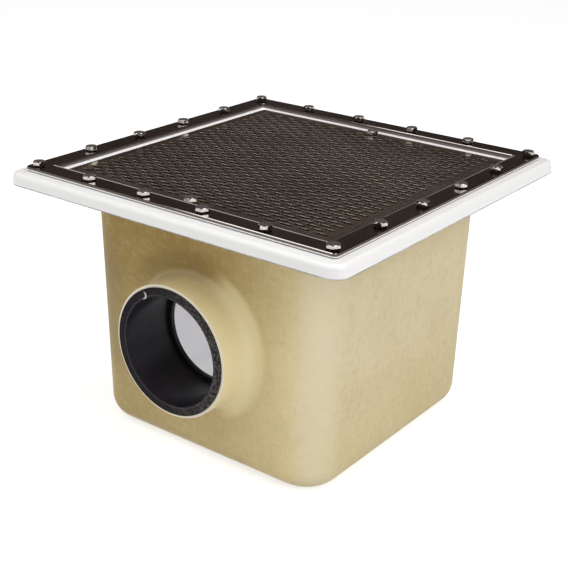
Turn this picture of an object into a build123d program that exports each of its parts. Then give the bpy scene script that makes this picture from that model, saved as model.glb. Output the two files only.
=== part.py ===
"""Square main drain for a lined swimming pool, standing on its own base.

The tank is one glass-fibre moulding: a drafted square bucket with a wide flange, a
turned-down rim, a ledge for the grate and a round collar for the pipe. A stainless
frame clamps two gaskets on the flange, a slotted grate lies on the ledge inside the
frame, and a plastic socket for the suction pipe is bonded in the collar.

Millimetres, +Z up, origin at the centre of the base, pipe leaving towards -Y.
"""

import os
from math import atan, degrees, tan, radians

from build123d import *

os.makedirs("parts", exist_ok=True)

# Bolt square: bolts stand in a square ring at one pitch
bolt_pitch = 80.0
bolts_per_side = 6

# Clamp frame and gaskets, measured from the bolt square
frame_outer_margin = 11.0
frame_inner_margin = 12.5
frame_thickness = 3.0
frame_outer_corner = 5.0
frame_inner_corner = 2.0
frame_edge_chamfer = 0.6
gasket_thickness = 1.3
gasket_setback = 0.8

# Flange with its turned-down, slightly flared rim, and the thick pad that holds the inserts
flange_overhang = 14.0
flange_thickness = 6.0
flange_corner_radius = 16.0
rim_height = 14.0
rim_flare = 1.6
rim_wall = 6.0
rim_edge_radius = 6.0
pad_depth = 12.0
pad_margin = 11.0

# Tank
tank_height = 310.0
tank_wall = 5.0
tank_draft = 7.0
tank_corner_radius = 52.0
tank_bottom_radius = 27.0
ledge_width = 23.0
ledge_depth = 3.0
ledge_corner_radius = 4.0

# Pipe socket and the collar around it
pipe_diameter = 125.0
pipe_clearance = 0.1
pipe_height = 150.0
socket_wall = 10.3
socket_depth = 68.0
socket_projection = 43.7
socket_proud = 1.5
stop_width = 5.0
stop_thickness = 5.0
collar_wall = 3.0
collar_root_radius = 14.0

# Grate
grate_gap = 7.5
grate_thickness = 3.0
grate_corner_radius = 2.0
grate_side_border = 11.0
grate_end_border = 14.5
slot_length = 37.4
slot_width = 3.5
slot_end_bar = 5.4
slot_row_bar = 3.6

# Fasteners
bolt_diameter = 8.0
bolt_clearance = 0.5
bolt_length = 16.0
bolt_head_flats = 13.0
bolt_head_height = 5.3
grate_screw_length = 12.0
grate_screw_inset = 8.0
insert_flats = 12.0
insert_length = 12.0
grate_insert_length = 9.0
thread_clearance = 0.05

# Widths that follow from the bolt square
bolt_square = bolt_pitch * (bolts_per_side - 1)
frame_width = bolt_square + 2 * frame_outer_margin
frame_opening = bolt_square - 2 * frame_inner_margin
flange_width = frame_width + 2 * flange_overhang
pad_width = bolt_square + 2 * pad_margin
cavity_width = frame_opening - 2 * ledge_width
grate_width = frame_opening - 2 * grate_gap
hole_radius = bolt_diameter / 2 + bolt_clearance
insert_bore = bolt_diameter + 2 * thread_clearance

# Heights that follow from the tank
flange_top = tank_height
flange_underside = flange_top - flange_thickness
rim_bottom = flange_top - rim_height
pad_bottom = flange_top - pad_depth
ledge_top = flange_top - ledge_depth
grate_top = ledge_top + grate_thickness
upper_gasket_bottom = flange_top + gasket_thickness
frame_bottom = upper_gasket_bottom + gasket_thickness
frame_top = frame_bottom + frame_thickness
tank_taper = degrees(atan(tank_draft / ledge_top))
rim_taper = degrees(atan(rim_flare / rim_height))


def tank_half_width(height):
    """Half of the tank's outside width at a height above the base."""
    return cavity_width / 2 + tank_wall - (ledge_top - height) * tan(radians(tank_taper))


# Pipe socket places: the mouth faces -Y, and the socket is built inwards from it
socket_bore_radius = pipe_diameter / 2 + pipe_clearance
socket_radius = socket_bore_radius + socket_wall
stop_radius = socket_bore_radius - stop_width
collar_radius = socket_radius + collar_wall
collar_mouth = -tank_half_width(pipe_height) - socket_projection
socket_mouth = collar_mouth - socket_proud

# Places of the fasteners
last_bolt = bolts_per_side - 1
bolt_points = [
    (bolt_pitch * i - bolt_square / 2, bolt_pitch * j - bolt_square / 2)
    for i in range(bolts_per_side)
    for j in range(bolts_per_side)
    if i in (0, last_bolt) or j in (0, last_bolt)
]
grate_screw_y = grate_width / 2 - grate_screw_inset
grate_points = [(0, -grate_screw_y), (0, grate_screw_y)]

# Places of the grate's slots: every second row is shifted by half a pitch
slot_pitch = slot_length + slot_end_bar
row_pitch = slot_width + slot_row_bar
slots_per_row = int((grate_width - 2 * grate_side_border - slot_length) / slot_pitch) + 1
slot_rows = int((grate_width - 2 * grate_end_border - slot_width) / row_pitch) + 1
slot_points = [
    (slot_pitch * (k - (count - 1) / 2), row_pitch * (row - (slot_rows - 1) / 2))
    for row in range(slot_rows)
    for count in [slots_per_row - row % 2]
    for k in range(count)
]


def drafted_block(inset):
    """Tank shape with drafted sides and a rounded bottom, inset from the tank's outside."""
    width = cavity_width + 2 * (tank_wall - inset)
    with BuildPart() as block:
        with BuildSketch(Plane.XY.offset(inset)):
            RectangleRounded(width, width, tank_corner_radius - inset)
        extrude(amount=ledge_top - inset)
        sides = block.faces().sort_by(Axis.Z)[1:-1]
        draft(sides, Plane.XY.offset(ledge_top), -tank_taper)
        fillet(block.faces().sort_by(Axis.Z)[0].edges(), tank_bottom_radius - inset)
    return block.part


def rim_block(inset, top):
    """Flange shape with a flared side, from the rim's lower edge up, inset from the outside."""
    width = flange_width + 2 * (rim_flare - inset)
    with BuildPart() as block:
        with BuildSketch(Plane.XY.offset(rim_bottom)):
            RectangleRounded(width, width, flange_corner_radius + rim_flare - inset)
        extrude(amount=top - rim_bottom)
        sides = block.faces().sort_by(Axis.Z)[1:-1]
        draft(sides, Plane.XY.offset(rim_bottom), rim_taper)
    return block.part


def ring_outline(height, width):
    """Sketch of a square ring with the bolt holes, which the frame and the gaskets share."""
    with BuildSketch(Plane.XY.offset(height)) as outline:
        RectangleRounded(width, width, frame_outer_corner)
        RectangleRounded(frame_opening, frame_opening, frame_inner_corner, mode=Mode.SUBTRACT)
        with Locations(*bolt_points):
            Circle(hole_radius, mode=Mode.SUBTRACT)
    return outline.sketch


def hexagons(points, height, flats):
    """Sketch of a hexagon at each point, for the heads and the inserts."""
    with BuildSketch(Plane.XY.offset(height)) as outline:
        with Locations(*points):
            RegularPolygon(flats / 2, 6, major_radius=False)
    return outline.sketch


def circles(points, height, diameter):
    """Sketch of a circle at each point, for the shanks and the inserts' bores."""
    with BuildSketch(Plane.XY.offset(height)) as outline:
        with Locations(*points):
            Circle(diameter / 2)
    return outline.sketch


# Sump: tank, flange, rim, insert pad, grate ledge and collar in one moulding
flange_outside = rim_block(0, flange_top)
flange_hollow = rim_block(rim_wall, flange_underside)
tank_outside = drafted_block(0)
tank_cavity = drafted_block(tank_wall)

with BuildPart() as sump:
    add(flange_outside)
    fillet(sump.faces().sort_by(Axis.Z)[-1].edges(), rim_edge_radius)
    add(flange_hollow, mode=Mode.SUBTRACT)
    with BuildSketch(Plane.XY.offset(pad_bottom)):
        RectangleRounded(pad_width, pad_width, flange_corner_radius - rim_wall)
    extrude(amount=flange_underside - pad_bottom)
    add(tank_outside)
    with BuildSketch(Plane(origin=(0, collar_mouth, pipe_height), z_dir=(0, 1, 0))):
        Circle(collar_radius)
    extrude(amount=socket_projection + tank_wall)
    root_centre = Vector(0, collar_mouth + socket_projection, pipe_height)
    collar_root = sump.edges().filter_by(
        lambda edge: (edge.bounding_box().center() - root_centre).length < tank_wall
    )
    fillet(collar_root, collar_root_radius)
    add(tank_cavity, mode=Mode.SUBTRACT)
    with BuildSketch(Plane(origin=(0, collar_mouth, pipe_height), z_dir=(0, 1, 0))):
        Circle(socket_radius)
    extrude(amount=socket_projection + 2 * tank_wall, mode=Mode.SUBTRACT)
    with BuildSketch(Plane.XY.offset(ledge_top)):
        RectangleRounded(frame_opening, frame_opening, ledge_corner_radius)
    extrude(amount=ledge_depth, mode=Mode.SUBTRACT)
    frame_pockets = hexagons(bolt_points, flange_top, insert_flats)
    extrude(frame_pockets, amount=-insert_length, mode=Mode.SUBTRACT)
    grate_pockets = hexagons(grate_points, ledge_top, insert_flats)
    extrude(grate_pockets, amount=-grate_insert_length, mode=Mode.SUBTRACT)
sump.part.label = "sump"
export_step(sump.part, "parts/sump.step")


# Pipe socket: plastic tube with a stop ring, bonded in the collar
with BuildPart() as pipe_socket:
    with BuildSketch(Plane(origin=(0, socket_mouth, pipe_height), z_dir=(0, 1, 0))):
        Circle(socket_radius)
        Circle(socket_bore_radius, mode=Mode.SUBTRACT)
    extrude(amount=socket_depth)
    stop_face = socket_mouth + socket_depth
    with BuildSketch(Plane(origin=(0, stop_face, pipe_height), z_dir=(0, 1, 0))):
        Circle(socket_radius)
        Circle(stop_radius, mode=Mode.SUBTRACT)
    extrude(amount=stop_thickness)
pipe_socket.part.label = "pipe_socket"
export_step(pipe_socket.part, "parts/pipe_socket.step")


# Gaskets: one below the pool's liner and one above it, the lower one a little smaller
with BuildPart() as lower_gasket:
    extrude(ring_outline(flange_top, frame_width - 2 * gasket_setback), amount=gasket_thickness)
lower_gasket.part.label = "lower_gasket"
export_step(lower_gasket.part, "parts/lower_gasket.step")

with BuildPart() as upper_gasket:
    extrude(ring_outline(upper_gasket_bottom, frame_width), amount=gasket_thickness)
upper_gasket.part.label = "upper_gasket"
export_step(upper_gasket.part, "parts/upper_gasket.step")


# Clamp frame: stainless square ring with its top edges broken all round, corners too
with BuildPart() as clamp_frame:
    extrude(ring_outline(frame_bottom, frame_width), amount=frame_thickness)
    top_edges = clamp_frame.faces().sort_by(Axis.Z)[-1].edges()
    chamfer(top_edges.filter_by(GeomType.LINE), frame_edge_chamfer)
clamp_frame.part.label = "clamp_frame"
export_step(clamp_frame.part, "parts/clamp_frame.step")


# Grate: stainless plate with staggered rows of slots and a hole for each screw
with BuildPart() as grate:
    with BuildSketch(Plane.XY.offset(ledge_top)):
        RectangleRounded(grate_width, grate_width, grate_corner_radius)
        with Locations(*slot_points):
            Rectangle(slot_length, slot_width, mode=Mode.SUBTRACT)
        with Locations(*grate_points):
            Circle(hole_radius, mode=Mode.SUBTRACT)
    extrude(amount=grate_thickness)
grate.part.label = "grate"
export_step(grate.part, "parts/grate.step")


# Bolts of the clamp frame and screws of the grate, with their threads as plain cylinders
with BuildPart() as frame_bolts:
    extrude(hexagons(bolt_points, frame_top, bolt_head_flats), amount=bolt_head_height)
    extrude(circles(bolt_points, frame_top, bolt_diameter), amount=-bolt_length)
frame_bolts.part.label = "frame_bolts"
export_step(frame_bolts.part, "parts/frame_bolts.step")

with BuildPart() as grate_screws:
    extrude(hexagons(grate_points, grate_top, bolt_head_flats), amount=bolt_head_height)
    extrude(circles(grate_points, grate_top, bolt_diameter), amount=-grate_screw_length)
grate_screws.part.label = "grate_screws"
export_step(grate_screws.part, "parts/grate_screws.step")


# Threaded inserts, flush in the pad under the flange and in the ledge
with BuildPart() as frame_inserts:
    extrude(hexagons(bolt_points, flange_top, insert_flats), amount=-insert_length)
    bores = circles(bolt_points, flange_top, insert_bore)
    extrude(bores, amount=-insert_length, mode=Mode.SUBTRACT)
frame_inserts.part.label = "frame_inserts"
export_step(frame_inserts.part, "parts/frame_inserts.step")

with BuildPart() as grate_inserts:
    extrude(hexagons(grate_points, ledge_top, insert_flats), amount=-grate_insert_length)
    bores = circles(grate_points, ledge_top, insert_bore)
    extrude(bores, amount=-grate_insert_length, mode=Mode.SUBTRACT)
grate_inserts.part.label = "grate_inserts"
export_step(grate_inserts.part, "parts/grate_inserts.step")
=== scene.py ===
"""Scene of the pool main drain: its materials, the real slots of its grate, light and camera.

Metres, in the frame of the CAD model: +Z up, the pipe socket's mouth towards -Y.
"""

import random
from math import cos, pi, radians, sin

import bmesh
import bpy
from mathutils import Matrix, Vector


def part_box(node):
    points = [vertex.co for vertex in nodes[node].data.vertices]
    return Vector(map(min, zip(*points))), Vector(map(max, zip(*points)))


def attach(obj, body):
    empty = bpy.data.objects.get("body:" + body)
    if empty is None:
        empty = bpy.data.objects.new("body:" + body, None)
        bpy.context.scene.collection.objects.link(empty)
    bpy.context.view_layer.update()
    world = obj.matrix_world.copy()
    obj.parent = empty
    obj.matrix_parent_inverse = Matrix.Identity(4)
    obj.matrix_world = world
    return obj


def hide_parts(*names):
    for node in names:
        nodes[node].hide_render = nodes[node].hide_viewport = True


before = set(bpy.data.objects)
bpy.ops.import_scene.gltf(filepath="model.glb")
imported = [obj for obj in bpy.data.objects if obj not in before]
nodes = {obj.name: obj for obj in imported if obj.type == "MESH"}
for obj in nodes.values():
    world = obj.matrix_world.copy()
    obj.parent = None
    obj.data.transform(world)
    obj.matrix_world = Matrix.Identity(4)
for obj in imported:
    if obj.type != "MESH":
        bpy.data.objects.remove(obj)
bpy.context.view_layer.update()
rng = random.Random(7)

MM = 0.001

# Camera of the photograph, in metres, found from the bolt heads
CAMERA_PLACE = Vector((0.7672, -1.0331, 0.7023))
CAMERA_FORWARD = Vector((-0.5522, 0.7382, -0.3876))
CAMERA_ROLL = radians(1.177)
CAMERA_LENS_MM = 73.82
CAMERA_SENSOR_MM = 36.0

# Tank and flange, as in the CAD part: half widths, and corner radii taken at the middle of the wall
TANK_CORNER_CENTRE = 117.5 * MM
WALL_MIDDLE_RADIUS = 49.5 * MM
BOTTOM_MIDDLE_RADIUS = 24.5 * MM
BOTTOM_CENTRE = 27.0 * MM
TANK_DRAFT = 0.0228
LEDGE_TOP = 307.0 * MM
FLANGE_UNDERSIDE = 304.0 * MM
RIM_BOTTOM = 296.0 * MM
RIM_CORNER_CENTRE = 209.0 * MM
RIM_MIDDLE_RADIUS = 13.5 * MM
FRAME_OPENING = 187.5 * MM
BOLT_SQUARE = 200.0 * MM

# Pipe's axis, sawn end of the collar and painted highlight round the socket's lip
PIPE_HEIGHT = 150.0 * MM
COLLAR_END = -209.6 * MM
SOCKET_LIP_HIGHLIGHT_RADIUS = 64.2 * MM

# Limits of what is coloured round the pipe: its side of the tank, and the reach of the collar's end
PIPE_SIDE = -140.0 * MM
COLLAR_REACH = 90.0 * MM

# Curl of pale resin on the socket's sawn end: the right half of a small ring, from the pipe's axis
CURL_CENTRE = (-36.0 * MM, 57.5 * MM, 0)
CURL_RADIUS = 5.0 * MM
CURL_LEFT = -35.5 * MM
CURL_HEIGHT = 57.0 * MM

# Grate: rows as in the CAD part, where one slot stands for two of these
SLOT_LENGTH = 16.0 * MM
SLOT_WIDTH = 3.5 * MM
SLOT_PITCH = 21.4 * MM
ROW_PITCH = 7.1 * MM
SLOT_ROWS = 47
SLOTS_PER_ROW = 16
SLOT_END_STEPS = 4
SLOT_BEVEL = 0.22 * MM
SCREW_HOLE_RADIUS = 4.5 * MM
SCREW_HOLE_STEPS = 24
PLATE_CORNER = 2.0 * MM
PLATE_CORNER_STEPS = 4

# Fasteners
BOLTS_PER_SIDE = 6
HEAD_FLATS = 13.0 * MM
HEAD_HEIGHT = 5.3 * MM
HEAD_STEPS = 48
SIDE_HEIGHT = HEAD_HEIGHT * 0.93
CORNER_DROP = HEAD_HEIGHT * 0.17
CROWN_RADIUS = HEAD_FLATS / 2 * 0.97
WASHER_HEIGHT = 1.6 * MM
WASHER_RADIUS = 5.4 * MM
WASHER_UNDERCUT = 0.1 * MM
WASHER_FACE_INDEX = 1
BOLT_RADIUS = 4.0 * MM
THREAD_ROOT = BOLT_RADIUS * 0.86
THREAD_TIP = BOLT_RADIUS * 0.8
THREAD_PITCH = 1.25 * MM
THREAD_STEPS = 20

# Steel: the frame's inner edge is rolled down a little, and cut edges are dull
EDGE_ROLL = 2.2 * MM
EDGE_SLOPE = 0.15
CUT_ROUGHNESS = 0.45

# Surroundings: white, but polished steel mirrors a room that turns dark above the horizon
WHITE = (1, 1, 1, 1)
ROOM_DARK = (0.052, 0.0370, 0.0315, 1)
ROOM_HIGH = (0.070, 0.0520, 0.0440, 1)
ROOM_LIGHT = 0.42
HORIZON = (0.06, 0.20)
HIGH_UP = (0.28, 0.37)
FLOOR_HALF = 6.0


def srgb(red, green, blue):
    """Colour as it looks on screen, 0 to 255, as the linear colour that Blender wants."""
    def linear(value):
        value = value / 255
        return value / 12.92 if value <= 0.04045 else ((value + 0.055) / 1.055) ** 2.4
    return (linear(red), linear(green), linear(blue), 1.0)


# Raw resin and glass fibre, with painted light and shade
RESIN_LOW = srgb(218, 201, 156)
RESIN_HIGH = srgb(224, 210, 172)
RESIN_FRONT = srgb(234, 216, 166)
RESIN_BROWN_SHADE = srgb(155, 125, 38)
RESIN_MOTTLE = srgb(198, 177, 114)
RESIN_CORNER_HIGHLIGHT = srgb(238, 227, 194)
RESIN_LIT = srgb(244, 230, 184)
RESIN_POOL_SHADE = srgb(128, 101, 34)
RESIN_SHADE = srgb(134, 113, 66)
RESIN_CUT = srgb(250, 241, 220)
STRAND_PALE = srgb(240, 230, 196)
STRAND_DARK = srgb(160, 138, 90)

# Gelcoat and rubber, with painted light and shade
GELCOAT = srgb(246, 245, 244)
GELCOAT_EDGE_DARK = srgb(112, 108, 102)
GELCOAT_GLOW = (0.92, 0.92, 1.0, 1)
RUBBER = srgb(236, 235, 232)
RUBBER_BLOOM = srgb(246, 245, 243)
RUBBER_INNER_SHADE = srgb(112, 102, 96)
RUBBER_OUTSIDE_LOWER_SHADE = srgb(138, 134, 129)
RUBBER_OUTSIDE_UPPER_LIT = srgb(242, 241, 238)

# Plastic pipe socket, with painted shade and a painted highlight on its sawn end
PLASTIC = srgb(28, 25, 31)
PLASTIC_SMEAR = srgb(44, 39, 47)
SAWN = srgb(26, 24, 25)
SAWN_CHALK = srgb(100, 94, 90)
SAWN_SHADE = srgb(19, 17, 19)
SAWN_LIP_HIGHLIGHT = srgb(96, 90, 104)
CURL_PALE = srgb(214, 206, 204)

# Metals and floor; the washer face's steel is painted dark as shade
PLATE_DARK = srgb(142, 138, 134)
PLATE_LIGHT = srgb(172, 168, 164)
PLATE_CUT = srgb(102, 92, 86)
GRATE_DARK = srgb(178, 171, 159)
GRATE_LIGHT = srgb(206, 198, 184)
GRATE_CUT = srgb(38, 33, 29)
BOLT_DARK = srgb(176, 172, 166)
BOLT_LIGHT = srgb(206, 202, 196)
WASHER_SHADE_DARK = srgb(44, 38, 34)
WASHER_SHADE_LIGHT = srgb(70, 62, 56)
BRASS_DARK = srgb(176, 140, 74)
BRASS_LIGHT = srgb(214, 180, 104)
FLOOR = srgb(226, 226, 226)


class Tree:
    """Short way to write a node tree."""

    def __init__(self, tree):
        self.tree = tree
        self.tree.nodes.clear()

    def join(self, source, target):
        self.tree.links.new(source, target)

    def put(self, value, socket):
        """Sets a socket to a number or colour, or joins it to another socket."""
        if isinstance(value, bpy.types.NodeSocket):
            self.join(value, socket)
        else:
            socket.default_value = value

    def node(self, kind, inputs=(), **settings):
        made = self.tree.nodes.new(kind)
        for name, value in settings.items():
            setattr(made, name, value)
        for key, value in dict(inputs).items():
            self.put(value, made.inputs[key])
        return made

    def math(self, operation, first, second=0.0, third=0.0, clamp=False):
        made = self.node("ShaderNodeMath", operation=operation, use_clamp=clamp)
        for socket, value in zip(made.inputs, (first, second, third)):
            self.put(value, socket)
        return made.outputs[0]

    def times(self, first, *others):
        """Product of two or more values."""
        for other in others:
            first = self.math("MULTIPLY", first, other)
        return first

    def vector(self, operation, first, second=(0, 0, 0), output=0):
        made = self.node("ShaderNodeVectorMath", operation=operation)
        self.put(first, made.inputs[0])
        self.put(second, made.inputs[1])
        return made.outputs[output]

    def length(self, vector):
        return self.vector("LENGTH", vector, output="Value")

    def pair(self, first, second):
        """Two values as a flat vector."""
        return self.node("ShaderNodeCombineXYZ", {0: first, 1: second}).outputs[0]

    def ramp(self, value, low, high, start=0.0, end=1.0, kind="LINEAR"):
        """Straight step of a value between two limits."""
        inputs = {"Value": value, "From Min": low, "From Max": high, "To Min": start, "To Max": end}
        return self.node("ShaderNodeMapRange", inputs, interpolation_type=kind).outputs[0]

    def band(self, value, low, high, start=0.0, end=1.0):
        """Smooth step of a value between two limits."""
        return self.ramp(value, low, high, start, end, kind="SMOOTHSTEP")

    def mix(self, factor, first, second):
        """Mixes two colours."""
        return self.node("ShaderNodeMix", {0: factor, 6: first, 7: second}, data_type="RGBA").outputs[2]

    def parts(self, vector):
        """The three parts of a vector."""
        return self.node("ShaderNodeSeparateXYZ", {0: vector}).outputs


class Nodes(Tree):
    """Node tree of a material with one shader, and the place and normal that it works from."""

    def __init__(self, name):
        self.material = bpy.data.materials.new(name)
        self.material.use_nodes = True
        super().__init__(self.material.node_tree)
        self.output = self.node("ShaderNodeOutputMaterial")
        self.shader = self.node("ShaderNodeBsdfPrincipled")
        self.join(self.shader.outputs[0], self.output.inputs[0])
        self.place = self.node("ShaderNodeTexCoord").outputs["Object"]
        self.x, self.y, self.z = self.parts(self.place)
        facing = self.node("ShaderNodeNewGeometry").outputs["Normal"]
        self.facing_x, self.facing_y, self.facing_z = self.parts(facing)

    def set(self, **inputs):
        """Sets the shader's own sockets, with spaces written as underscores."""
        for name, value in inputs.items():
            self.put(value, self.shader.inputs[name.replace("_", " ")])

    def noise(self, scale, detail, rough, stretch=(1, 1, 1), shift=(0, 0, 0)):
        place = self.node("ShaderNodeMapping", {"Vector": self.place, "Scale": stretch, "Location": shift})
        inputs = {"Vector": place.outputs[0], "Scale": scale, "Detail": detail, "Roughness": rough}
        return self.node("ShaderNodeTexNoise", inputs).outputs[0]

    def bump(self, height, distance, strength=1.0, normal=None):
        inputs = {"Height": height, "Distance": distance, "Strength": strength}
        if normal is not None:
            inputs["Normal"] = normal
        return self.node("ShaderNodeBump", inputs).outputs[0]

    def across(self):
        """Distance from the drain's middle, measured square to its sides."""
        return self.math("MAXIMUM", self.math("ABSOLUTE", self.x), self.math("ABSOLUTE", self.y))

    def off_pipe(self):
        """Distance from the pipe's axis."""
        return self.length(self.pair(self.x, self.math("SUBTRACT", self.z, PIPE_HEIGHT)))


def dress(node_name, material):
    """Gives a CAD node one material in all its slots."""
    data = nodes[node_name].data
    data.materials.clear()
    data.materials.append(material)


# Moulding


def beyond_corner(n, corner_centre):
    """Distance outwards from a rounded square's corner centres, which is its radius on the outline."""
    flat = n.pair(n.math("ABSOLUTE", n.x), n.math("ABSOLUTE", n.y))
    over = n.vector("SUBTRACT", flat, (corner_centre, corner_centre, 0))
    return n.length(n.vector("MAXIMUM", over, (0, 0, 0)))


def tank_outside(n):
    """1 outside the middle of the tank's wall and bottom, rounded and drafted as they are, else 0."""
    depth = n.math("SUBTRACT", LEDGE_TOP, n.z)
    reach = n.math("ADD", beyond_corner(n, TANK_CORNER_CENTRE), n.times(depth, TANK_DRAFT))
    sideways = n.math("MAXIMUM", n.math("SUBTRACT", reach, WALL_MIDDLE_RADIUS - BOTTOM_MIDDLE_RADIUS), 0)
    downward = n.math("MAXIMUM", n.math("SUBTRACT", BOTTOM_CENTRE, n.z), 0)
    return n.math("GREATER_THAN", n.length(n.pair(sideways, downward)), BOTTOM_MIDDLE_RADIUS)


def resin_tint_and_shade(n):
    """How far the resin faces the pipe's side, and how much it turns darker and browner: partly a browner
    resin, partly painted shade on this face in shadow, more to the left and high up under the rim.
    """
    front = n.band(n.facing_y, -0.96, -0.66, 1.0, 0.0)
    round_left = n.times(n.band(n.x, -0.10, -0.15), n.band(n.y, 0.08, -0.15, 0.1, 1.0))
    front = n.math("MAXIMUM", front, round_left)
    left = n.band(n.x, -0.17, 0.15, 0.50, 0.0)
    high = n.band(n.z, 0.10, 0.27, 0.0, 0.50)
    toward = n.times(front, n.math("ADD", n.math("ADD", left, high), 0.20))
    toward = n.times(toward, n.band(n.x, 0.03, 0.15, 1.0, 0.25))
    cloud = n.noise(7.0, 4.0, 0.6, shift=(7, 2, 4))
    tint_and_shade = n.math("ADD", toward, n.math("MULTIPLY_ADD", cloud, 0.5, -0.25), clamp=True)
    return front, tint_and_shade


def raw_resin(n, fibre, mottle):
    """Mat of chopped strands in beige resin, darker and browner on the face towards the pipe, partly as
    painted shade, with a painted highlight on the near corner.
    """
    front, tint_and_shade = resin_tint_and_shade(n)
    side = n.mix(n.band(n.z, 0.02, 0.20), RESIN_LOW, RESIN_HIGH)
    # Painted shade, partly browner resin: the face towards the pipe's side darkened towards brown
    resin = n.mix(tint_and_shade, n.mix(front, side, RESIN_FRONT), RESIN_BROWN_SHADE)
    resin = n.mix(n.band(mottle, 0.30, 0.75, 0.0, 0.26), resin, RESIN_MOTTLE)
    resin = n.mix(n.band(fibre, 0.44, 0.72, 0.0, 0.20), resin, STRAND_PALE)
    resin = n.mix(n.band(fibre, 0.30, 0.52, 0.22, 0.0), resin, STRAND_DARK)
    # Painted highlight: the near rounded corner, which faces the lamps, made paler
    corner = n.math("MAXIMUM", n.times(n.facing_x, n.facing_y, -1.6), 0.0)
    corner = n.times(corner, n.band(n.x, 0.10, 0.15, 0.0, 0.8))
    return n.mix(corner, resin, RESIN_CORNER_HIGHLIGHT)


def resin_round_pipe(n, resin):
    """Painted light on the collar's right, painted shade as a dark pool above it and on the wall to its
    left, and a pale cut end.
    """
    off_pipe = n.off_pipe()
    around = n.math("DIVIDE", n.x, off_pipe)
    pipe_side = n.math("LESS_THAN", n.y, PIPE_SIDE)

    # Painted light on the right of the collar and of its root
    collar = n.times(n.band(n.y, -0.170, -0.182), n.band(around, -0.45, 0.35, 0.0, 0.7))
    root = n.times(n.band(off_pipe, 0.089, 0.100, 1.0, 0.0), pipe_side)
    root = n.times(root, n.band(around, 0.25, 0.65, 0.0, 0.8))
    resin = n.mix(n.math("MAXIMUM", collar, root), resin, RESIN_LIT)

    # Painted shade: a dark pool over the collar's root and the wall above it
    pool = n.times(n.band(off_pipe, 0.095, 0.112, 1.0, 0.0), pipe_side)
    pool = n.times(pool, n.band(around, 0.50, 0.10, 0.0, 0.42))
    pool = n.times(pool, n.band(n.z, 0.18, 0.22), n.band(n.y, -0.184, -0.172))
    resin = n.mix(pool, resin, RESIN_POOL_SHADE)

    # Shade on the wall to the left of the collar
    shade = n.times(n.band(n.z, 0.26, 0.20), n.band(n.z, 0.04, 0.10))
    shade = n.times(shade, n.band(n.x, -0.085, -0.135, 0.0, 0.55), n.band(n.y, -0.06, -0.155))
    resin = n.mix(shade, resin, RESIN_SHADE)

    # Cut end of the collar
    cut_end = n.math("LESS_THAN", n.y, COLLAR_END + 0.6 * MM)
    cut_end = n.times(cut_end, n.math("LESS_THAN", off_pipe, COLLAR_REACH))
    return n.mix(cut_end, resin, RESIN_CUT)


def gelcoat(n, on_rim):
    """White gelcoat, with a thin broken darker line along the rim's lower edge."""
    edge_noise = n.noise(42.0, 5.0, 0.7, shift=(2, 2, 9))
    low_edge = n.band(n.z, RIM_BOTTOM + 0.4 * MM, RIM_BOTTOM + 1.7 * MM, 1.0, 0.0)
    dark_edge = n.times(low_edge, on_rim, n.band(edge_noise, 0.35, 0.6, 0.5, 0.9))
    return n.mix(dark_edge, GELCOAT, GELCOAT_EDGE_DARK)


def moulding_material():
    """White glossy gelcoat on the flange and inside, raw resin and glass fibre outside."""
    n = Nodes("moulding")
    outside = tank_outside(n)
    below_flange = n.math("LESS_THAN", n.z, FLANGE_UNDERSIDE + 0.5 * MM)
    on_rim = n.math("GREATER_THAN", beyond_corner(n, RIM_CORNER_CENTRE), RIM_MIDDLE_RADIUS)
    raw = n.times(outside, below_flange, n.math("SUBTRACT", 1.0, on_rim))

    strands_a = n.noise(190.0, 5.0, 0.68, stretch=(1, 1, 0.45))
    strands_b = n.noise(160.0, 5.0, 0.68, stretch=(0.5, 0.5, 1.2), shift=(3, 1, 7))
    fibre = n.times(n.math("ADD", strands_a, strands_b), 0.5)
    mottle = n.noise(16.0, 4.0, 0.62, shift=(1, 5, 2))
    resin = resin_round_pipe(n, raw_resin(n, fibre, mottle))
    n.set(Base_Color=n.mix(raw, gelcoat(n, on_rim), resin))
    n.set(Roughness=n.math("MULTIPLY_ADD", raw, 0.33, 0.22))
    height = n.math("ADD", fibre, n.times(mottle, 0.8))
    n.set(Normal=n.bump(n.times(height, raw), 0.5 * MM, 0.5))
    n.set(IOR=1.5)

    # Glow that stands in for the light which white walls throw about in the tank and round the grate
    inside = n.times(n.math("SUBTRACT", 1.0, outside), below_flange)
    ledge = n.math("LESS_THAN", n.across(), FRAME_OPENING)
    ledge = n.times(ledge, n.math("SUBTRACT", 1.0, below_flange))
    glow = n.times(inside, n.band(n.z, 0.26, 0.05, 0.06, 0.13))
    n.set(Emission_Color=GELCOAT_GLOW)
    n.set(Emission_Strength=n.math("MULTIPLY_ADD", ledge, 0.34, glow))
    return n.material


# Other materials


def curl_mask(n):
    """1 on the curl of pale resin that was left on the upper left of the sawn end, else 0."""
    upright = n.math("SUBTRACT", n.z, PIPE_HEIGHT)
    from_centre = n.vector("DISTANCE", n.pair(n.x, upright), CURL_CENTRE, output="Value")
    off_arc = n.math("ABSOLUTE", n.math("SUBTRACT", from_centre, CURL_RADIUS))
    arc = n.times(n.band(off_arc, 0.7 * MM, 1.4 * MM, 1.0, 0.0), n.math("GREATER_THAN", n.x, CURL_LEFT))
    off_middle = n.math("ABSOLUTE", n.math("SUBTRACT", upright, CURL_HEIGHT))
    return n.times(arc, n.band(off_middle, 3.5 * MM, 5.0 * MM, 1.0, 0.0))


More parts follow.
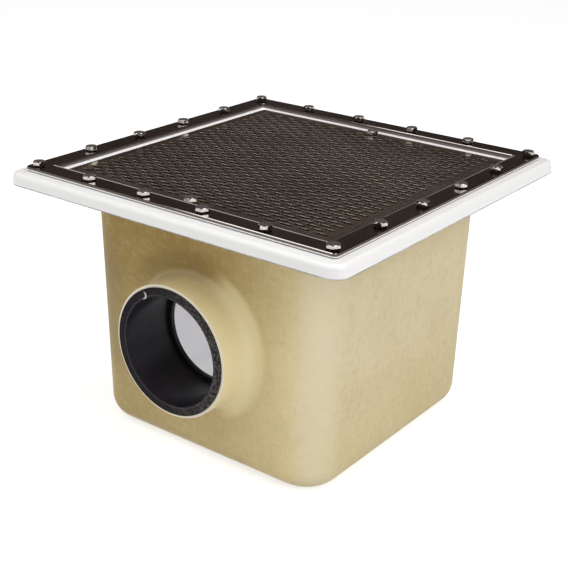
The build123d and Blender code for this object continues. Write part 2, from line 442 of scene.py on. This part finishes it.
def socket_material():
    """Charcoal plastic pipe: smooth inside, coarse and chalky where it was sawn off, with painted shade on
    the left of the sawn end and a painted highlight round its lip.
    """
    n = Nodes("dark_plastic")
    grain = n.noise(420.0, 4.0, 0.7)
    smear = n.noise(60.0, 3.0, 0.6, stretch=(1, 0.2, 1), shift=(4, 0, 1))
    smooth = n.mix(n.band(smear, 0.4, 0.7), PLASTIC, PLASTIC_SMEAR)
    sawn = n.mix(n.band(grain, 0.42, 0.66), SAWN, SAWN_CHALK)
    sawn = n.mix(n.band(n.x, -0.03, 0.07, 0.12, 1.0), SAWN_SHADE, sawn)
    # Painted highlight: a thin paler ring on the chamfer of the socket's mouth
    off_lip = n.math("ABSOLUTE", n.math("SUBTRACT", n.off_pipe(), SOCKET_LIP_HIGHLIGHT_RADIUS))
    sawn = n.mix(n.band(off_lip, 0.3 * MM, 0.7 * MM, 0.5, 0.0), sawn, SAWN_LIP_HIGHLIGHT)
    sawn = n.mix(curl_mask(n), sawn, CURL_PALE)
    end = n.band(n.facing_y, -0.9, -0.5, 1.0, 0.0)
    n.set(Base_Color=n.mix(end, smooth, sawn))
    n.set(Roughness=n.math("MULTIPLY_ADD", end, 0.4, 0.32))
    n.set(Specular_IOR_Level=n.math("MULTIPLY_ADD", end, -0.18, 0.32))
    n.set(Normal=n.bump(n.times(grain, end), 0.5 * MM, 0.6))
    return n.material


def gasket_material(name, outside):
    """Matt white rubber with a dusty bloom, a given colour round the outside that paints the lower
    gasket's shade and the upper gasket's highlight, and painted shade on its inner edge.
    """
    n = Nodes(name)
    bloom = n.noise(120.0, 4.0, 0.6)
    across = n.across()
    white = n.mix(n.band(bloom, 0.35, 0.7), RUBBER, RUBBER_BLOOM)
    # Painted shade on the inner edge, beside the frame's opening
    inner_shade = n.math("LESS_THAN", across, FRAME_OPENING + 2.0 * MM)
    white = n.mix(inner_shade, white, RUBBER_INNER_SHADE)
    # Painted shade and light round the outside, from the colour given for each gasket
    n.set(Base_Color=n.mix(n.math("GREATER_THAN", across, BOLT_SQUARE), white, outside))
    n.set(Roughness=0.6)
    n.set(Normal=n.bump(bloom, 0.15 * MM, 0.4))
    return n.material


def steel_material(name, dark, light, cut_edge, rough, coarse, dull_to):
    """Rolled stainless plate: grain, faint stains, scratches, dull cut edges and a rolled inner edge."""
    n = Nodes(name)
    stain = n.noise(9.0, 3.0, 0.55, shift=(2, 8, 1))
    grain = n.noise(30.0, 3.0, 0.6, stretch=(1, 26, 1))
    scratch = n.noise(22.0, 2.0, 0.5, stretch=(18, 1, 1), shift=(6, 3, 0))
    cut = n.band(n.math("ABSOLUTE", n.facing_z), 0.3, dull_to, 1.0, 0.0)
    colour = n.mix(n.band(stain, 0.3, 0.7), dark, light)
    colour = n.mix(n.band(grain, 0.5, 0.8, 0.0, 0.25), colour, light)
    n.set(Base_Color=n.mix(cut, colour, cut_edge))
    n.set(Metallic=1.0)
    marks = n.math("ADD", n.band(scratch, 0.6, 0.75), n.band(grain, 0.4, 0.8))
    polish = n.math("MULTIPLY_ADD", marks, coarse, rough)
    n.set(Roughness=n.math("MAXIMUM", polish, n.times(cut, CUT_ROUGHNESS)))
    from_edge = n.math("MAXIMUM", n.math("SUBTRACT", n.across(), FRAME_OPENING), 0.0)
    rolled = n.times(n.math("MINIMUM", from_edge, EDGE_ROLL), EDGE_SLOPE)
    n.set(Normal=n.bump(grain, 0.02 * MM, 0.35, normal=n.bump(rolled, 1.0)))
    return n.material


def bolt_material():
    """Bright stainless fasteners, a little duller where a spanner has touched them."""
    n = Nodes("bolt_steel")
    wear = n.noise(230.0, 3.0, 0.6)
    top = n.band(n.facing_z, 0.5, 0.9)
    n.set(Base_Color=n.mix(n.band(wear, 0.4, 0.7), BOLT_DARK, BOLT_LIGHT))
    n.set(Metallic=1.0)
    n.set(Roughness=n.math("ADD", n.band(wear, 0.45, 0.75, 0.06, 0.16), n.times(top, 0.26)))
    n.set(Normal=n.bump(wear, 0.02 * MM, 0.25))
    return n.material


def washer_shade_material():
    """Steel of the washer face under a head, painted dark as the shade under the head."""
    n = Nodes("washer_face_shade")
    washer_noise = n.noise(300.0, 3.0, 0.6)
    n.set(Base_Color=n.mix(n.band(washer_noise, 0.35, 0.7), WASHER_SHADE_DARK, WASHER_SHADE_LIGHT))
    n.set(Metallic=1.0)
    n.set(Roughness=0.4)
    n.set(Normal=n.bump(washer_noise, 0.03 * MM, 0.4))
    return n.material


def brass_material():
    """Turned brass with a brownish tarnish."""
    n = Nodes("brass")
    tarnish = n.noise(260.0, 4.0, 0.6)
    n.set(Base_Color=n.mix(n.band(tarnish, 0.4, 0.7), BRASS_DARK, BRASS_LIGHT))
    n.set(Metallic=1.0)
    n.set(Roughness=n.band(tarnish, 0.3, 0.7, 0.22, 0.42))
    return n.material


def floor_material():
    """Pale floor that the camera sees as white, apart from the object's shadow."""
    n = Nodes("floor")
    n.set(Base_Color=FLOOR, Roughness=0.9)
    path = n.node("ShaderNodeLightPath")
    seen = n.math("MAXIMUM", path.outputs["Is Camera Ray"], path.outputs["Is Glossy Ray"])
    seen = n.math("MAXIMUM", seen, path.outputs["Is Transmission Ray"])
    glow = n.node("ShaderNodeEmission", {"Color": WHITE, "Strength": n.times(seen, 0.62)})
    both = n.node("ShaderNodeAddShader", {0: n.shader.outputs[0], 1: glow.outputs[0]})
    n.join(both.outputs[0], n.output.inputs[0])
    return n.material


# Outlines and places


def bolt_group(node):
    """Of a CAD node's bolts: half the distance between the outer axes, the seat's height, the length."""
    low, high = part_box(node)
    seat = high.z - HEAD_HEIGHT
    return (high.y - low.y - HEAD_FLATS) / 2, seat, seat - low.z


def rounded_corner(centre, radius, start, steps):
    """Points of a quarter circle, counter-clockwise from a start angle."""
    turns = [start + pi / 2 * k / steps for k in range(steps + 1)]
    return [(centre[0] + radius * cos(a), centre[1] + radius * sin(a)) for a in turns]


def slot_outline(centre):
    """Points of one round-ended slot, counter-clockwise."""
    half = (SLOT_LENGTH - SLOT_WIDTH) / 2
    radius = SLOT_WIDTH / 2
    points = []
    for side, start in ((1, -pi / 2), (-1, pi / 2)):
        for k in range(SLOT_END_STEPS + 1):
            a = start + pi * k / SLOT_END_STEPS
            points.append((centre[0] + side * half + radius * cos(a), centre[1] + radius * sin(a)))
    return points


def circle_outline(centre, radius, steps):
    turns = [2 * pi * k / steps for k in range(steps)]
    return [(centre[0] + radius * cos(a), centre[1] + radius * sin(a)) for a in turns]


# Grate


def plate_outline(half):
    """Square plate with rounded corners."""
    inner = half - PLATE_CORNER
    outline = []
    for k, (sx, sy) in enumerate(((1, 1), (-1, 1), (-1, -1), (1, -1))):
        outline += rounded_corner((sx * inner, sy * inner), PLATE_CORNER, k * pi / 2, PLATE_CORNER_STEPS)
    return outline


def grate_holes():
    """Staggered rows of slots, and the two screw holes."""
    holes = []
    for row in range(SLOT_ROWS):
        count = SLOTS_PER_ROW - row % 2
        for k in range(count):
            x = SLOT_PITCH * (k - (count - 1) / 2)
            holes.append(slot_outline((x, ROW_PITCH * (row - (SLOT_ROWS - 1) / 2))))
    screw_y, _, _ = bolt_group("grate_screws")
    for side in (-1, 1):
        holes.append(circle_outline((0, side * screw_y), SCREW_HOLE_RADIUS, SCREW_HOLE_STEPS))
    return holes


def plate_with_holes(name, outline, holes, bottom, top, edge):
    """Flat plate cut by closed outlines, as a filled curve turned into a mesh."""
    curve = bpy.data.curves.new(name, "CURVE")
    curve.dimensions = "2D"
    curve.fill_mode = "BOTH"
    curve.extrude = (top - bottom) / 2 - edge
    curve.bevel_depth = edge
    curve.bevel_resolution = 0
    curve.offset = -edge
    for points in [outline] + holes:
        spline = curve.splines.new("POLY")
        spline.points.add(len(points) - 1)
        for point, (px, py) in zip(spline.points, points):
            point.co = (px, py, 0, 1)
        spline.use_cyclic_u = True
    made = bpy.data.objects.new(name, curve)
    bpy.context.scene.collection.objects.link(made)
    made.location.z = (top + bottom) / 2
    bpy.context.view_layer.update()
    mesh = bpy.data.meshes.new_from_object(made)
    mesh.transform(made.matrix_world)
    bpy.data.objects.remove(made)
    plate = bpy.data.objects.new(name, mesh)
    bpy.context.scene.collection.objects.link(plate)
    return plate


def make_grate(material):
    low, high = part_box("grate")
    outline = plate_outline(high.x)
    plate = plate_with_holes("slotted_grate", outline, grate_holes(), low.z, high.z, SLOT_BEVEL)
    plate.data.materials.append(material)
    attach(plate, "root")
    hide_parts("grate")


# Fasteners


def join_rings(bm, low, high, material_index=0):
    """Fills the wall between two rings of vertices."""
    for k in range(len(low)):
        j = (k + 1) % len(low)
        wall = bm.faces.new((low[k], low[j], high[j], high[k]))
        wall.material_index = material_index


def side_height(reach):
    """Height of a head's side at a distance from its axis: lower towards the corners."""
    corner = HEAD_FLATS / 2 / cos(pi / 6)
    toward_corner = (reach - HEAD_FLATS / 2) / (corner - HEAD_FLATS / 2)
    return SIDE_HEIGHT - CORNER_DROP * toward_corner


def head_rings(bm, turn):
    """Rings of a hexagon head from its seat up: two of the washer face, two of the side, the crown."""
    rings = [[], [], [], [], []]
    for k in range(HEAD_STEPS):
        a = 2 * pi * k / HEAD_STEPS
        hexagon = HEAD_FLATS / 2 / cos((a % (pi / 3)) - pi / 6)
        outline = (
            (WASHER_RADIUS, 0),
            (WASHER_RADIUS, WASHER_HEIGHT),
            (hexagon, WASHER_HEIGHT + WASHER_UNDERCUT),
            (hexagon, side_height(hexagon)),
            (CROWN_RADIUS, HEAD_HEIGHT),
        )
        for ring, (reach, z) in zip(rings, outline):
            ring.append(bm.verts.new((reach * cos(a + turn), reach * sin(a + turn), z)))
    return rings


def shank_rings(bm, length):
    """Rings of a shank from the head down, with a thread that is drawn as ridges."""
    turns = int(length / THREAD_PITCH)
    profile = [(THREAD_ROOT, 0.0)]
    for k in range(turns):
        z = -length * (k + 0.5) / turns
        profile += [(THREAD_ROOT, z + THREAD_PITCH * 0.4), (BOLT_RADIUS, z)]
    profile.append((THREAD_TIP, -length))
    return [
        [bm.verts.new((px, py, z)) for px, py in circle_outline((0, 0), radius, THREAD_STEPS)]
        for radius, z in profile
    ]


def make_bolt(name, node, place, length, materials):
    """Hexagon bolt: flat head with a chamfered crown, a washer face and a threaded shank."""
    bm = bmesh.new()
    head = head_rings(bm, turn=rng.uniform(0, pi / 3))
    for level, (low, high) in enumerate(zip(head, head[1:])):
        join_rings(bm, low, high, WASHER_FACE_INDEX if level < 2 else 0)
    bm.faces.new(head[-1])
    shank = shank_rings(bm, length)
    for high, low in zip(shank, shank[1:]):
        join_rings(bm, low, high)
    bm.faces.new(list(reversed(shank[-1])))
    bm.faces.new(list(reversed(head[0])))
    bm.faces.new(shank[0])
    bmesh.ops.translate(bm, verts=bm.verts, vec=place)
    mesh = bpy.data.meshes.new(name)
    bm.to_mesh(mesh)
    bm.free()
    for material in materials:
        mesh.materials.append(material)
    bolt = bpy.data.objects.new(name, mesh)
    bpy.context.scene.collection.objects.link(bolt)
    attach(bolt, "root")
    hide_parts(node)


def make_frame_bolts(materials):
    half, seat, length = bolt_group("frame_bolts")
    last = BOLTS_PER_SIDE - 1
    pitch = 2 * half / last
    for i in range(BOLTS_PER_SIDE):
        for j in range(BOLTS_PER_SIDE):
            if i in (0, last) or j in (0, last):
                place = (i * pitch - half, j * pitch - half, seat)
                make_bolt(f"frame_bolt_{i}{j}", "frame_bolts", place, length, materials)


def make_grate_screws(materials):
    half, seat, length = bolt_group("grate_screws")
    for side, name in ((-1, "grate_screw_front"), (1, "grate_screw_back")):
        make_bolt(name, "grate_screws", (0, side * half, seat), length, materials)


# Studio


def make_floor():
    half = FLOOR_HALF
    mesh = bpy.data.meshes.new("floor")
    corners = [(-half, -half, 0), (half, -half, 0), (half, half, 0), (-half, half, 0)]
    mesh.from_pydata(corners, [], [(0, 1, 2, 3)])
    mesh.materials.append(floor_material())
    floor = bpy.data.objects.new("floor", mesh)
    bpy.context.scene.collection.objects.link(floor)


def make_lamp(name, place, target, size, power):
    """Square white area lamp that faces a point."""
    data = bpy.data.lights.new(name, "AREA")
    data.shape = "RECTANGLE"
    data.size = data.size_y = size
    data.energy = power
    lamp = bpy.data.objects.new(name, data)
    lamp.location = place
    lamp.rotation_euler = (Vector(target) - Vector(place)).to_track_quat("-Z", "Y").to_euler()
    bpy.context.scene.collection.objects.link(lamp)


def make_world():
    """White to the camera; to polished metal, a room that is white low down and dark above."""
    world = bpy.data.worlds.new("studio")
    bpy.context.scene.world = world
    world.use_nodes = True
    t = Tree(world.node_tree)
    path = t.node("ShaderNodeLightPath").outputs
    height = t.parts(t.node("ShaderNodeTexCoord").outputs["Generated"])["Z"]
    above = t.mix(t.ramp(height, *HIGH_UP), ROOM_DARK, ROOM_HIGH)
    mirrored = t.mix(t.band(height, *HORIZON), WHITE, above)
    room = t.node("ShaderNodeBackground", {"Color": mirrored}).outputs[0]
    plain = t.node("ShaderNodeBackground", {"Color": WHITE, "Strength": ROOM_LIGHT}).outputs[0]
    white = t.node("ShaderNodeBackground", {"Color": WHITE, "Strength": 1.0}).outputs[0]
    seen = plain
    for ray, shown in (("Glossy", room), ("Transmission", white), ("Camera", white)):
        seen = t.node("ShaderNodeMixShader", {0: path[f"Is {ray} Ray"], 1: seen, 2: shown}).outputs[0]
    t.join(seen, t.node("ShaderNodeOutputWorld").inputs[0])


def make_camera():
    data = bpy.data.cameras.new("camera")
    data.lens = CAMERA_LENS_MM
    data.sensor_width = CAMERA_SENSOR_MM
    data.clip_start = 0.05
    camera = bpy.data.objects.new("camera", data)
    forward = CAMERA_FORWARD.normalized()
    right = forward.cross(Vector((0, 0, 1))).normalized()
    up = right.cross(forward)
    tilted_right = right * cos(CAMERA_ROLL) + up * sin(CAMERA_ROLL)
    tilted_up = up * cos(CAMERA_ROLL) - right * sin(CAMERA_ROLL)
    turned = Matrix((tilted_right, tilted_up, -forward)).transposed()
    camera.matrix_world = Matrix.Translation(CAMERA_PLACE) @ turned.to_4x4()
    bpy.context.scene.collection.objects.link(camera)
    bpy.context.scene.camera = camera


plate_steel = steel_material("plate_steel", PLATE_DARK, PLATE_LIGHT, PLATE_CUT,
                             rough=0.08, coarse=0.07, dull_to=0.6)
grate_steel = steel_material("grate_steel", GRATE_DARK, GRATE_LIGHT, GRATE_CUT,
                             rough=0.19, coarse=0.10, dull_to=0.9)
brass = brass_material()
fastener_steel = [bolt_material(), washer_shade_material()]

dress("sump", moulding_material())
dress("pipe_socket", socket_material())
dress("lower_gasket", gasket_material("lower_rubber", RUBBER_OUTSIDE_LOWER_SHADE))
dress("upper_gasket", gasket_material("upper_rubber", RUBBER_OUTSIDE_UPPER_LIT))
dress("clamp_frame", plate_steel)
dress("frame_inserts", brass)
dress("grate_inserts", brass)
make_grate(grate_steel)
make_frame_bolts(fastener_steel)
make_grate_screws(fastener_steel)

bpy.context.scene.view_settings.view_transform = "Standard"
make_floor()
make_world()
make_camera()
make_lamp("key", place=(1.9, -0.5, 1.5), target=(0, 0, 0.2), size=1.2, power=17)
make_lamp("fill", place=(-1.0, -1.8, 1.1), target=(0, 0, 0.15), size=1.4, power=6.8)
make_lamp("corner", place=(-0.85, -0.95, 1.86), target=(0, 0, 0.2), size=0.7, power=5)
make_lamp("top", place=(0.45, 0.0, 2.2), target=(0, 0, 0.3), size=1.6, power=15)
